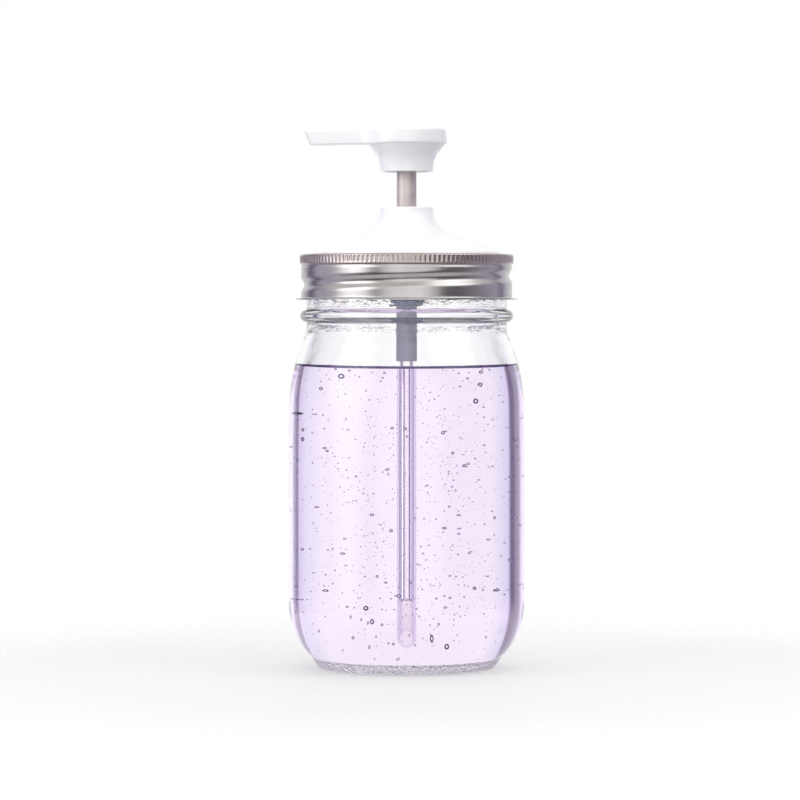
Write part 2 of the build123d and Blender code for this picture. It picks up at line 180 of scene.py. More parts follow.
def arc(start, through, end, steps):
    """Points on the circle through three points, from start to end."""
    (ax, ay), (bx, by), (cx, cy) = start, through, end
    d = 2 * (ax * (by - cy) + bx * (cy - ay) + cx * (ay - by))
    a2, b2, c2 = ax * ax + ay * ay, bx * bx + by * by, cx * cx + cy * cy
    ux = (a2 * (by - cy) + b2 * (cy - ay) + c2 * (ay - by)) / d
    uy = (a2 * (cx - bx) + b2 * (ax - cx) + c2 * (bx - ax)) / d
    first, middle, last = (atan2(y - uy, x - ux) for x, y in (start, through, end))
    turn = (last - first) % (2 * pi)
    if (middle - first) % (2 * pi) > turn:
        turn -= 2 * pi
    radius = hypot(ax - ux, ay - uy)
    angles = [first + turn * k / steps for k in range(steps + 1)]
    return [(ux + radius * cos(a), uy + radius * sin(a)) for a in angles]


def straight(start, end, step):
    """Points from start to end, no more than step apart."""
    steps = max(1, ceil(hypot(end[0] - start[0], end[1] - start[1]) / step))
    return [
        (start[0] + (end[0] - start[0]) * k / steps, start[1] + (end[1] - start[1]) * k / steps)
        for k in range(steps + 1)
    ]


def rounded(corners, steps=5, closed=False):
    """A polyline whose corners (x, y, radius) are rounded; a radius of 0 stays sharp."""
    made, count = [], len(corners)
    for i, (x, y, radius) in enumerate(corners):
        if radius == 0 or (not closed and i in (0, count - 1)):
            made.append((x, y))
            continue
        before = Vector(corners[i - 1][:2]) - Vector((x, y))
        after = Vector(corners[(i + 1) % count][:2]) - Vector((x, y))
        half = before.angle(after) / 2
        reach = radius / tan(half)
        first = Vector((x, y)) + before.normalized() * reach
        last = Vector((x, y)) + after.normalized() * reach
        out = (before.normalized() + after.normalized()).normalized()
        centre = Vector((x, y)) + out * (radius / sin(half))
        middle = centre - out * radius
        made += arc(tuple(first), tuple(middle), tuple(last), steps)
    return made


def without_repeats(points):
    """The points with any that lies on the one before it left out."""
    kept = [points[0]]
    for p in points[1:]:
        if hypot(p[0] - kept[-1][0], p[1] - kept[-1][1]) > 1e-4:
            kept.append(p)
    return kept


# ---- Meshes ------------------------------------------------------------------------------

def piece(name, points, faces, body, materials, slots=None, crease=35.0):
    """A smooth-shaded mesh, from points in millimetres, that rides on a CAD body."""
    mesh = bpy.data.meshes.new(name)
    mesh.from_pydata([tuple(c * MM for c in p) for p in points], [], faces)
    for m in materials:
        mesh.materials.append(m)
    if slots is not None:
        mesh.polygons.foreach_set("material_index", slots)
    mesh.polygons.foreach_set("use_smooth", [True] * len(mesh.polygons))
    mesh.set_sharp_from_angle(angle=radians(crease))
    mesh.validate()
    made = bpy.data.objects.new(name, mesh)
    bpy.context.scene.collection.objects.link(made)
    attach(made, body)
    return made


def turned(profile, steps, closed=False, shape=None):
    """Points and faces of a profile of (radius, height) turned about Z.

    A profile runs so that the solid lies on its left seen along it, with radius to the
    right and height up. An open one starts and ends on the axis. shape(i, radius, height,
    angle) may move a point of row i, and returns its radius and height.
    """
    points, rows, faces = [], [], []
    for i, (r, z) in enumerate(profile):
        if r < 1e-6:
            rows.append([len(points)] * steps)
            points.append((0.0, 0.0, z))
            continue
        rows.append(list(range(len(points), len(points) + steps)))
        for k in range(steps):
            a = 2 * pi * k / steps
            rr, zz = shape(i, r, z, a) if shape else (r, z)
            points.append((rr * cos(a), rr * sin(a), zz))
    pairs = list(zip(rows, rows[1:] + rows[:1]))[: None if closed else -1]
    for low, high in pairs:
        for k in range(steps):
            n = (k + 1) % steps
            corners = [low[k], low[n], high[n], high[k]]
            kept = [c for j, c in enumerate(corners) if c != corners[j - 1]]
            if len(kept) > 2:
                faces.append(kept)
    return points, faces


def faces_per_row(values, steps):
    """One value per face of a turned piece, from one value per span of its profile."""
    return [v for v in values for _ in range(steps)]


def smoothstep(t):
    t = min(max(t, 0.0), 1.0)
    return t * t * (3 - 2 * t)


def helix_bump(angle, z, start_z, angles, fade, half):
    """How far a point is onto a helical ridge, from 0 beside it to 1 on its middle."""
    turn = angle * 180 / pi
    best = 0.0
    for whole in (-360.0, 0.0, 360.0):
        a = turn + whole
        if angles[0] < a < angles[1]:
            middle = start_z + LEAD * (a - 180.0) / 360.0
            across = abs(z - middle) / half
            ends = smoothstep(min(a - angles[0], angles[1] - a) / fade)
            if across < 1:
                best = max(best, ends * 0.5 * (1 + cos(pi * across)))
    return best


# ---- Material nodes ----------------------------------------------------------------------

class Nodes:
    """A material being made: its node tree, and short ways to add nodes to it."""

    def __init__(self, name):
        self.material = bpy.data.materials.new(name)
        self.material.use_nodes = True
        self.tree = self.material.node_tree
        self.shader = self.tree.nodes["Principled BSDF"]
        self.output = self.tree.nodes["Material Output"]

    def add(self, kind, inputs=None, **settings):
        """A node with its settings, and its inputs set or linked."""
        made = self.tree.nodes.new(kind)
        for key, value in settings.items():
            setattr(made, key, value)
        for key, value in (inputs or {}).items():
            self.put(made.inputs[key], value)
        return made

    def put(self, socket, value):
        """Links an output socket to an input socket, or sets its value."""
        if isinstance(value, bpy.types.NodeSocket):
            self.tree.links.new(value, socket)
        else:
            socket.default_value = value

    def set(self, **values):
        """Inputs of the Principled shader, with _ for the spaces in their names."""
        for key, value in values.items():
            self.put(self.shader.inputs[key.replace("_", " ")], value)

    def place(self):
        return self.add("ShaderNodeTexCoord").outputs["Object"]

    def height(self):
        return self.add("ShaderNodeSeparateXYZ", {"Vector": self.place()}).outputs["Z"]

    def noise(self, scale, detail=2.0, stretch=(1, 1, 1)):
        """Noise from 0 to 1, with its scale in features per metre."""
        mapped = self.add("ShaderNodeMapping", {"Vector": self.place(), "Scale": stretch})
        made = self.add(
            "ShaderNodeTexNoise",
            {"Vector": mapped.outputs["Vector"], "Scale": scale, "Detail": detail},
        )
        return made.outputs["Fac"]

    def ramp(self, factor, stops):
        """Colours by factor: stops are (place, colour)."""
        made = self.add("ShaderNodeValToRGB", {"Fac": factor})
        elements = made.color_ramp.elements
        while len(elements) < len(stops):
            elements.new(0.5)
        for element, (place, colour) in zip(elements, stops):
            element.position = place
            element.color = (*colour, 1.0)
        return made.outputs["Color"]

    def range(self, factor, low, high):
        """factor from 0 to 1 brought to low to high."""
        return self.add(
            "ShaderNodeMapRange", {"Value": factor, "To Min": low, "To Max": high}
        ).outputs["Result"]

    def bump(self, height, depth, strength=1.0):
        """A normal from a height from 0 to 1 that stands for depth millimetres."""
        return self.add(
            "ShaderNodeBump", {"Height": height, "Distance": depth * MM, "Strength": strength}
        ).outputs["Normal"]


def white_plastic():
    """Glossy white moulding: a faint mottle and the slight orange peel of a mould."""
    n = Nodes("white_plastic")
    mottle = n.noise(60.0, 3.0)
    n.set(
        Base_Color=n.ramp(mottle, [(0.3, (0.91, 0.915, 0.92)), (0.7, (0.935, 0.94, 0.94))]),
        Roughness=n.range(n.noise(300.0, 2.0), 0.2, 0.27),
        Normal=n.bump(n.noise(500.0, 1.0), 0.01, 0.5),
        Subsurface_Weight=0.08,
        Subsurface_Radius=(0.002, 0.002, 0.002),
        Coat_Weight=0.15,
        Coat_Roughness=0.08,
    )
    return n.material


def clear_glass(name, ior, waves):
    """Jar glass. ior is against what lies on that side of it, and waves its mould marks.

    The ring that the jar stands on is stippled.
    """
    n = Nodes(name)
    height = n.height()
    low = n.add(
        "ShaderNodeMapRange",
        {"Value": height, "From Min": 2.6 * MM, "From Max": 3.4 * MM, "To Min": 1.0, "To Max": 0.0},
    ).outputs["Result"]
    cells = n.add("ShaderNodeTexVoronoi", {"Vector": n.place(), "Scale": 900.0})
    stipple = n.add(
        "ShaderNodeMath", {0: cells.outputs["Distance"], 1: low}, operation="MULTIPLY"
    ).outputs["Value"]
    wave = n.bump(n.noise(70.0, 1.0, (1, 1, 0.6)), waves)
    in_neck = n.ramp(
        n.add("ShaderNodeMapRange", {"Value": height, "From Max": 134.0 * MM}).outputs["Result"],
        [(0.82, (0, 0, 0)), (0.835, (1, 1, 1)), (0.85, (0, 0, 0)), (0.89, (0, 0, 0)),
         (0.9, (1, 1, 1)), (0.93, (1, 1, 1))],
    )
    wrinkle = n.add(
        "ShaderNodeMath", {0: n.noise(330.0, 2.0, (1, 1, 2.2)), 1: in_neck}, operation="MULTIPLY"
    ).outputs["Value"]
    wave = n.add(
        "ShaderNodeBump", {"Height": wrinkle, "Distance": 0.14 * MM, "Normal": wave}
    ).outputs["Normal"]
    marks = n.add("ShaderNodeBump", {"Height": stipple, "Distance": 0.45 * MM, "Normal": wave})
    n.set(
        Base_Color=n.ramp(n.noise(25.0), [(0.3, (0.985, 0.99, 0.995)), (0.7, (1, 1, 1))]),
        Roughness=0.0,
        IOR=ior,
        Transmission_Weight=1.0,
        Normal=marks.outputs["Normal"],
    )
    return n.material


def liquid_soap():
    """Lavender soap. Faces against the glass only let light by; its free faces refract it.

    Its colour holds painted shade by facing: the rims of its bubbles and its curled edge are darkened,
    where they throw light back out of the soap, and its free faces darken when seen edge-on.
    """
    n = Nodes("liquid_soap")
    against = n.add("ShaderNodeAttribute", attribute_name="against_glass").outputs["Fac"]
    painted_rim_shade = n.add("ShaderNodeAttribute", attribute_name="painted_rim_shade").outputs["Fac"]
    rim = n.add("ShaderNodeLayerWeight", {"Blend": 0.5}).outputs["Facing"]
    shade = n.add("ShaderNodeMath", {0: rim, 1: painted_rim_shade}, operation="MULTIPLY").outputs["Value"]
    # Painted shade: dark indigo as faces turn edge-on, soonest on bubble rims and the curled edge.
    colour = n.add(
        "ShaderNodeMixRGB",
        {
            0: painted_rim_shade,
            1: n.ramp(rim, [(0.88, (1, 1, 1)), (0.96, (0.16, 0.11, 0.3))]),
            2: n.ramp(shade, [(0.1, (1, 1, 1)), (0.32, (0.2, 0.16, 0.3))]),
        },
    )
    surface = n.add(
        "ShaderNodeBsdfGlass",
        {"Color": colour.outputs["Color"], "IOR": SOAP_IOR, "Roughness": 0.0},
    )
    through = n.add("ShaderNodeBsdfTransparent")
    mixed = n.add(
        "ShaderNodeMixShader",
        {0: against, 1: surface.outputs["BSDF"], 2: through.outputs["BSDF"]},
    )
    n.put(n.output.inputs["Surface"], mixed.outputs["Shader"])
    tint = n.add("ShaderNodeVolumeAbsorption", {"Color": (0.88, 0.7, 0.96, 1), "Density": 9.0})
    n.put(n.output.inputs["Volume"], tint.outputs["Volume"])
    return n.material


def tube_plastic(name, ior, rim_shade):
    """Clear polyethylene against air or against soap, its rims shaded by rim_shade."""
    n = Nodes(name)
    rim = n.add("ShaderNodeLayerWeight", {"Blend": 0.5}).outputs["Facing"]
    n.set(
        Base_Color=n.ramp(rim, [(0.08, (0.95, 0.91, 0.94)), (0.36, rim_shade)]),
        Roughness=n.range(n.noise(200.0, 2.0, (1, 1, 0.1)), 0.0, 0.02),
        IOR=ior,
        Transmission_Weight=1.0,
    )
    return n.material


def band_steel():
    """Rolled tinplate: fine marks along the rolling, a mottle, and a warmer, darker colour from the
    bead up.
    """
    n = Nodes("band_steel")
    marks = n.noise(1500.0, 3.0, (0.05, 0.05, 1.0))
    mottle = n.noise(120.0, 4.0)
    height = n.height()
    bead = n.add(
        "ShaderNodeMapRange",
        {"Value": height, "From Min": 133.2 * MM, "From Max": 134.0 * MM},
    ).outputs["Result"]
    n.set(
        Base_Color=n.add(
            "ShaderNodeMixRGB",
            {
                0: bead,
                1: n.ramp(mottle, [(0.25, (0.42, 0.4, 0.39)), (0.75, (0.53, 0.51, 0.5))]),
                2: n.ramp(mottle, [(0.25, (0.4, 0.35, 0.33)), (0.75, (0.5, 0.44, 0.42))]),
            },
        ).outputs["Color"],
        Metallic=1.0,
        Roughness=n.range(marks, 0.2, 0.32),
        Normal=n.bump(marks, 0.004),
    )
    return n.material


def sleeve_steel():
    """Satin stainless tube with marks round it."""
    n = Nodes("sleeve_steel")
    marks = n.noise(2500.0, 2.0, (0.04, 0.04, 1.0))
    n.set(
        Base_Color=n.ramp(n.noise(200.0), [(0.3, (0.58, 0.52, 0.51)), (0.7, (0.66, 0.6, 0.58))]),
        Metallic=0.85,
        Roughness=n.range(marks, 0.48, 0.58),
        Normal=n.bump(marks, 0.006),
    )
    return n.material


def housing_plastic():
    """Slate moulded plastic, satin, paler and more lavender in the thin tail."""
    n = Nodes("housing_plastic")
    height = n.height()
    chamber = n.add(
        "ShaderNodeMapRange",
        {"Value": height, "From Min": 118.6 * MM, "From Max": 119.2 * MM},
    ).outputs["Result"]
    n.set(
        Base_Color=n.add(
            "ShaderNodeMixRGB",
            {
                0: chamber,
                1: n.ramp(n.noise(150.0), [(0.3, (0.27, 0.25, 0.37)), (0.7, (0.34, 0.31, 0.44))]),
                2: n.ramp(n.noise(150.0), [(0.3, (0.14, 0.16, 0.3)), (0.7, (0.18, 0.2, 0.36))]),
            },
        ).outputs["Color"],
        Roughness=n.range(n.noise(500.0), 0.35, 0.5),
        Normal=n.bump(n.noise(900.0), 0.01),
        Subsurface_Weight=0.25,
        Subsurface_Radius=(0.002, 0.002, 0.003),
    )
    return n.material


def plain_plastic(name, dark, light, roughness):
    """Natural moulded plastic for the hidden pieces."""
    n = Nodes(name)
    n.set(
        Base_Color=n.ramp(n.noise(180.0, 3.0), [(0.3, dark), (0.7, light)]),
        Roughness=n.range(n.noise(600.0), roughness - 0.05, roughness + 0.08),
        Normal=n.bump(n.noise(900.0), 0.01),
    )
    return n.material


def plain_steel(name, colour, roughness):
    """Drawn wire and polished balls."""
    n = Nodes(name)
    n.set(
        Base_Color=n.ramp(n.noise(300.0), [(0.3, colour), (0.7, tuple(c * 1.1 for c in colour))]),
        Metallic=1.0,
        Roughness=n.range(n.noise(1500.0), roughness, roughness + 0.08),
    )
    return n.material


WHITE = white_plastic()
GLASS = clear_glass("clear_glass", GLASS_IOR, 0.02)
GLASS_WET = clear_glass("wet_glass", GLASS_IOR / SOAP_IOR, 0.02)
SOAP = liquid_soap()
# The tube materials paint shade on their rims: grey lavender dry, paler wet, near black in the bore.
TUBE = tube_plastic("tube_plastic", TUBE_IOR, (0.55, 0.5, 0.66))
TUBE_WET = tube_plastic("wet_tube_plastic", TUBE_IOR / SOAP_IOR, (0.78, 0.74, 0.84))
TUBE_BORE = tube_plastic("tube_bore", TUBE_IOR, (0.07, 0.05, 0.17))
BAND = band_steel()
SLEEVE = sleeve_steel()
HOUSING = housing_plastic()
SEAL = plain_plastic("seal_silicone", (0.72, 0.72, 0.7), (0.8, 0.8, 0.78), 0.5)
NATURAL = plain_plastic("natural_plastic", (0.7, 0.7, 0.7), (0.78, 0.78, 0.77), 0.35)
PISTON = plain_plastic("piston_plastic", (0.6, 0.62, 0.68), (0.68, 0.7, 0.75), 0.4)
BALL = plain_steel("ball_steel", (0.75, 0.75, 0.75), 0.08)
WIRE = plain_steel("spring_steel", (0.55, 0.55, 0.55), 0.22)


# ---- Jar and soap ------------------------------------------------------------------------

def inside_wall(gap):
    """The jar's inside from the floor's middle up to the rim, gap millimetres clear of it."""
    wall_r = BODY_R - WALL - gap
    floor_z = FLOOR_Z + gap
    floor = spline(
        [(0, floor_z + FLOOR_CROWN), (FLOOR_EDGE_R, floor_z)], 8, (1, 0), (1, -0.04)
    )
    heel = arc((FLOOR_EDGE_R, floor_z), (33.9 - gap, 10.2 + gap), (wall_r, HEEL_TOP_Z), 20)
    wall = straight((wall_r, HEEL_TOP_Z), (wall_r, BODY_TOP_Z), 6.0)
    upper = [(r - gap, z) for r, z in reversed(SHOULDER_INSIDE)]
    shoulder = spline(
        [(wall_r, BODY_TOP_Z), *upper, (MOUTH_R - gap, NECK_START_Z + 1)], 12, (0, 1), (0, 1)
    )
    return without_repeats(floor + heel + wall + shoulder)


def jar_outline():
    """The jar's section: outside from the underside's middle to the rim, then inside."""
    outside = spline([(0, PUSH_UP), (FOOT_R - FOOT_WIDTH, 0)], 8, (1, 0), (1, -0.15))
    outside += rounded(
        [(FOOT_R - FOOT_WIDTH, 0, 0), (FOOT_R + 0.2, 0, 0.7), (31.7, 3.5, 0)], 5
    )
    outside += arc((31.7, 3.5), (36.7, 10.5), (BODY_R, HEEL_TOP_Z), 24)
    outside += straight((BODY_R, HEEL_TOP_Z), (BODY_R, BODY_TOP_Z), 6.0)
    outside += spline(
        [(BODY_R, BODY_TOP_Z), *SHOULDER, (NECK_R, NECK_START_Z)], 12, (0, 1), (0, 1)
    )
    foot = (NECK_R, BEAD_Z - BEAD_HALF)
    top = (NECK_R, BEAD_Z + BEAD_HALF)
    bead = arc(foot, (BEAD_R, BEAD_Z), top, 16)
    bead_foot = [(NECK_R, foot[1] - 0.9), (NECK_R + 0.12, foot[1] - 0.15)]
    outside += bead_foot + bead[1:-1] + [(NECK_R + 0.12, top[1] + 0.15), (NECK_R, top[1] + 0.9)]
    outside += straight((NECK_R, top[1] + 1.2), (NECK_R, RIM_Z - RIM_ROUND), 0.3)
    rim_out = arc(
        (NECK_R, RIM_Z - RIM_ROUND),
        (NECK_R - RIM_ROUND * (1 - sqrt(0.5)), RIM_Z - RIM_ROUND * (1 - sqrt(0.5))),
        (NECK_R - RIM_ROUND, RIM_Z),
        6,
    )
    rim_in = [(MOUTH_R + NECK_R - r, z) for r, z in reversed(rim_out)]
    inside = list(reversed(inside_wall(0)))
    neck = straight((MOUTH_R, RIM_Z - RIM_ROUND), inside[0], 4.0)
    return without_repeats(outside + rim_out), without_repeats(rim_in + neck + inside)


def make_jar():
    """The jar, with its thread, and its inside parted where the soap wets it."""
    outside, inside = jar_outline()
    profile = outside + inside
    wet_z = LEVEL_Z + MENISCUS
    steps = 256

    def thread(i, r, z, angle):
        if i < len(outside) and THREAD_Z[0] < z < THREAD_Z[1]:
            r += THREAD_HEIGHT * helix_bump(
                angle, z, GROOVE_Z_AT_LEFT + THREAD_ABOVE_GROOVE, THREAD_ANGLES, THREAD_FADE,
                THREAD_HALF,
            )
        return r, z

    points, faces = turned(profile, steps, shape=thread)
    spans = []
    for i in range(len(profile) - 1):
        wet = i >= len(outside) and (profile[i][1] + profile[i + 1][1]) / 2 < wet_z
        spans.append(1 if wet else 0)
    jar = piece(
        "glass_jar", points, faces, "jar", [GLASS, GLASS_WET],
        faces_per_row(spans, steps),
    )
    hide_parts("jar_glass")


def ball(centre, radius, stretch, fine, inward):
    """Points and faces of a small sphere, its faces turned inward for a void."""
    mesh = bmesh.new()
    bmesh.ops.create_icosphere(mesh, subdivisions=3 if fine else 2, radius=radius)
    points = [
        (centre[0] + v.co.x, centre[1] + v.co.y, centre[2] + v.co.z * stretch)
        for v in mesh.verts
    ]
    faces = [[v.index for v in f.verts] for f in mesh.faces]
    mesh.free()
    return points, [f[::-1] for f in faces] if inward else faces


def bubbles():
    """Where the soap's bubbles are: (centre, radius), clear of the wall, tube and surface."""
    draw = random.Random(7)
    made = []
    for count, small, large in ((760, 0.12, 0.18), (280, 0.19, 0.3), (60, 0.32, 0.5), (14, 0.55, 0.8)):
        while count:
            r = 33.5 * sqrt(draw.random())
            a = draw.uniform(0, 2 * pi)
            z = draw.uniform(9.0, LEVEL_Z - 2.0)
            size = small + (large - small) * draw.random() ** 2
            if r < TUBE_R[1] + size + 0.4 or hypot(r / 34.0, max(0.0, 22.0 - z) / 16.0) > 1:
                continue
            centre = (r * cos(a), r * sin(a), z)
            if any(
                (Vector(centre) - Vector(c)).length < size + s + 0.1 for c, s in made
            ):
                continue
            made.append((centre, size))
            count -= 1
    return made


def make_soap():
    """The soap with its curled edge, the air inside the dip tube, and its bubbles."""
    gap = 0.05
    wall = [p for p in inside_wall(gap) if p[1] < LEVEL_Z + MENISCUS - 0.2]
    edge_r = wall[-1][0] - 0.15
    edge = spline(
        [(edge_r, LEVEL_Z + MENISCUS), (edge_r - 0.7, LEVEL_Z + 0.35), (edge_r - 2.2, LEVEL_Z)],
        8, (-0.25, -1), (-1, 0),
    )
    top = [(r, LEVEL_Z) for r in (26.0, 18.0, 10.0, 0.0)]
    profile = without_repeats(wall + edge + top)
    steps = 256
    points, faces = turned(profile, steps)
    against = faces_per_row(
        [1.0 if i < len(wall) else 0.0 for i in range(len(profile) - 1)], steps
    )
    bore = TUBE_R[0] + 0.04
    void = [(0, COLUMN_Z), (bore * 0.6, COLUMN_Z + 0.25), (bore, COLUMN_Z + 0.9)]
    void += [(bore, LEVEL_Z - 0.03), (0, LEVEL_Z - 0.03)]
    shells = [turned(void, 64)]
    shells[0] = (shells[0][0], [f[::-1] for f in shells[0][1]])
    for centre, size in bubbles():
        shells.append(ball(centre, size, 1.0, size > 0.25, True))
    # The curled edge and the bubbles take the deeper painted rim shade.
    curl = range(len(wall), len(wall) + len(edge) - 1)
    painted_rim_shade = faces_per_row(
        [1.0 if i in curl else 0.0 for i in range(len(profile) - 1)], steps
    )
    painted_rim_shade += [0.0] * len(shells[0][1])
    for more_points, more_faces in shells:
        start = len(points)
        points = points + more_points
        faces = faces + [[start + c for c in f] for f in more_faces]
        against += [0.0] * len(more_faces)
    soap = piece("lavender_soap", points, faces, "jar", [SOAP])
    painted_rim_shade += [1.0] * (len(faces) - len(painted_rim_shade))
    for name, values in (("against_glass", against), ("painted_rim_shade", painted_rim_shade)):
        layer = soap.data.attributes.new(name, "FLOAT", "FACE")
        layer.data.foreach_set("value", values)
    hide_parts("soap_fill")


# ---- Band and lid insert -----------------------------------------------------------------

def make_band():
    """The screw band: a bent sheet with a knurled bead, a rolled thread and a curled lip."""
    outer = rounded(
        [
            (BAND_MOUTH_R, BAND_TOP_Z, 0),
            (BAND_BEAD_R, BAND_TOP_Z, 0.75),
            (BAND_BEAD_R, BAND_BEAD_Z[0] - 0.2, 0.35),
            (BAND_R - 0.25, BAND_BEAD_Z[0] - 0.55, 0.3),
            (BAND_R, BAND_BEAD_Z[0] - 1.5, 0.8),
            (BAND_R, BAND_BOTTOM_Z + SHEET, 0.7),
            (BAND_LIP_R, BAND_BOTTOM_Z + SHEET, 0),
        ],
        6,
    )
    fine = []
    for a, b in zip(outer, outer[1:]):
        fine += straight(a, b, 0.4)[:-1] if abs(a[1] - b[1]) > 0.3 else [a]
    fine.append(outer[-1])
    fine = without_repeats(fine)
    inner = []
    for i, (r, z) in enumerate(fine):
        a, b = fine[max(i - 1, 0)], fine[min(i + 1, len(fine) - 1)]
        length = hypot(b[0] - a[0], b[1] - a[1])
        inner.append((r + (b[1] - a[1]) / length * SHEET, z - (b[0] - a[0]) / length * SHEET))
    profile = list(reversed(fine)) + inner
    steps = KNURLS * 6

    def rolled(i, r, z, angle):
        if BAND_BOTTOM_Z + 0.8 < z < BAND_BEAD_Z[0] + 0.5:
            r -= GROOVE_DEPTH * helix_bump(
                angle, z, GROOVE_Z_AT_LEFT, GROOVE_ANGLES, GROOVE_FADE, GROOVE_HALF
            )
        low, high = BAND_BEAD_Z
        if i < len(fine) and low < z < high + 0.3:
            tall = smoothstep((z - low) / 0.3) * smoothstep((high + 0.3 - z) / 0.4)
            r -= KNURL_DEPTH * tall * 0.5 * (1 + cos(angle * KNURLS))
        return r, z

    points, faces = turned(profile, steps, closed=True, shape=rolled)
    band = piece("knurled_screw_band", points, faces, "band", [BAND], crease=50.0)
    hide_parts("screw_band")


def make_dome():
    """The white lid insert: flange, bell, flat top with its stem hole, and the boss inside."""
    flange_z = RIM_Z + SEAL_SLIP + SEAL_THICK
    flange_top = flange_z + FLANGE_THICK
    top = DOME_TOP_Z
    flange = rounded(
        [(FLANGE_BORE_R, flange_z, 0), (FLANGE_R, flange_z, 0.25), (FLANGE_R, flange_top, 0.25),
         (31.1, flange_top, 0)], 4,
    )
    bell = spline(
        [(31.1, flange_z + 1.55), (30.9, flange_z + 2.5), (29.6, 138.4), (26.4, 139.6),
         (17.9, 141.8), (12.6, 144.3), (10.2, 147.0), (9.2, 149.4), (8.8, top - 1.0)],
        10, (0, 1), (0, 1),
    )
    crown = rounded(
        [(8.8, top - 1.0, 0), (8.8, top, 0.45), (3.45, top, 0.2), (3.45, top - 1.6, 0),
         (6.9, top - 1.6, 0), (6.9, 143.6, 0), (8.4, 143.6, 0), (8.4, 146.6, 0)], 6,
    )
    under = spline(
        [(8.4, 146.6), (11.5, 143.1), (17.3, 140.3), (25.9, 138.0), (FLANGE_BORE_R, flange_top)],
        10, (0.25, -1), (0.8, -1),
    )
    profile = without_repeats(flange + bell + crown + under)
    points, faces = turned(profile, 224, closed=True)
    dome = piece("white_lid_insert", points, faces, "pump_body", [WHITE])
    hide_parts("lid_dome")


# ---- Pump --------------------------------------------------------------------------------

def make_sleeve():
    """The steel sleeve over the stem: a plain tube with rounded corners."""
    profile = rounded(
        [(SLEEVE_R[1], SLEEVE_Z[0], 0.15), (SLEEVE_R[1], SLEEVE_Z[1], 0.15),
         (SLEEVE_R[0], SLEEVE_Z[1], 0.05), (SLEEVE_R[0], SLEEVE_Z[0], 0.05)],
        4, closed=True,
    )
    points, faces = turned(profile, 96, closed=True)
    sleeve = piece("steel_stem_sleeve", points, faces, "pump_head", [SLEEVE])
    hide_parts("stem_sleeve")


def make_housing():
    """The pump chamber with flutes at its foot, its flange, and the tail below it."""
    floor = CHAMBER_Z[0] + 1.2
    profile = rounded(
        [
            (2.33, TAIL_Z, 0.1), (TAIL_R, TAIL_Z, 0.3), (TAIL_R, CHAMBER_Z[0], 0.2),
            (CHAMBER_R[1], CHAMBER_Z[0], 0.4), (CHAMBER_R[1], 124.0, 0),
            (CHAMBER_R[1], 141.5, 0.2), (8.2, 141.5, 0.2), (8.2, 142.9, 0.2),
            (CHAMBER_R[1], 142.9, 0), (CHAMBER_R[1], CHAMBER_Z[1], 0.15),
            (CHAMBER_R[0], CHAMBER_Z[1], 0.15), (CHAMBER_R[0], floor, 0.2),
            (2.25, floor, 0.1), (2.25, 113.25, 0), (1.0, 112.0, 0), (1.0, 111.2, 0),
            (2.33, 111.2, 0),
        ],
        4, closed=True,
    )
    fine = []
    for a, b in zip(profile, profile[1:] + profile[:1]):
        fine += straight(a, b, 0.8)[:-1]
    steps = FLUTES * 12

    def fluted(i, r, z, angle):
        if r > CHAMBER_R[1] - 0.5 and CHAMBER_Z[0] - 0.1 < z < FLUTE_TOP_Z:
            tall = smoothstep((FLUTE_TOP_Z - z) / 1.2)
            across = abs((angle * FLUTES / (2 * pi) + 0.5) % 1.0 - 0.5) * 2 * pi * r / FLUTES
            r -= FLUTE_DEPTH * tall * smoothstep(1 - across / 0.5)
        return r, z

    points, faces = turned(fine, steps, closed=True, shape=fluted)
    housing = piece(
        "pump_chamber", points, faces, "pump_body", [HOUSING], crease=40.0
    )
    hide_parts("pump_housing")


def make_tube():
    """The dip tube, cut at a slope at its foot, with its wet faces told from its dry ones."""
    low, high = TUBE_Z
    heights = [low + 0.04, low + 1.5, low + 3.0, TIP_TOP_Z, COLUMN_Z, 30.0, 60.0, 90.0]
    heights += [LEVEL_Z, 104.0, high]
    outer = [(TUBE_R[1], z) for z in heights]
    inner = [(TUBE_R[0], z) for z in reversed(heights)]
    profile = outer + inner
    steps = 96

    def cut(i, r, z, angle):
        share = max(0.0, 1 - (z - heights[0]) / (TIP_TOP_Z - heights[0]))
        return r, z + share * (TUBE_R[1] + r * sin(angle)) * tan(TIP_ANGLE)

    points, faces = turned(profile, steps, closed=True, shape=cut)
    spans = []
    for i in range(len(profile)):
        middle = (profile[i][1] + profile[(i + 1) % len(profile)][1]) / 2
        # Inner faces above the soap column take tube_bore, whose rims carry a near-black painted
        # shade.
        bore = i >= len(outer) and middle > COLUMN_Z
        spans.append(2 if bore else 1 if middle < LEVEL_Z else 0)
    tube = piece(
        "clear_dip_tube", points, faces, "pump_body",
        [TUBE, TUBE_WET, TUBE_BORE], faces_per_row(spans, steps),
    )
    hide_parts("dip_tube")


def make_spring():
    """The return spring, its end coils closed and ground."""
    low, high = (z / MM for z in (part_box("return_spring")[0].z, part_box("return_spring")[1].z))
    radius, wire, turns, ring, steps = 3.0, 0.35, 9.0, 10, 40
    span = high - low - 2 * wire
    points, faces = [], []
    count = int(turns * steps)
    for k in range(count + 1):
        turn = k / steps
        t = min(max((turn - 0.8) / (turns - 1.6), 0.0), 1.0)
        z = low + wire + span * t
        a = 2 * pi * turn
        for j in range(ring):
            b = 2 * pi * j / ring
            r = radius + wire * cos(b)
            points.append((r * cos(a), r * sin(a), min(max(z + wire * sin(b), low), high)))
    for k in range(count):
        for j in range(ring):
            n = (j + 1) % ring
            faces.append([k * ring + j, (k + 1) * ring + j, (k + 1) * ring + n, k * ring + n])
    faces.append(list(range(ring)))
    faces.append(list(reversed(range(count * ring, count * ring + ring))))
    spring = piece("coil_spring", points, faces, "pump_body", [WIRE])
    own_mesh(spring)
    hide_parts("return_spring")


# ---- Actuator head -----------------------------------------------------------------------

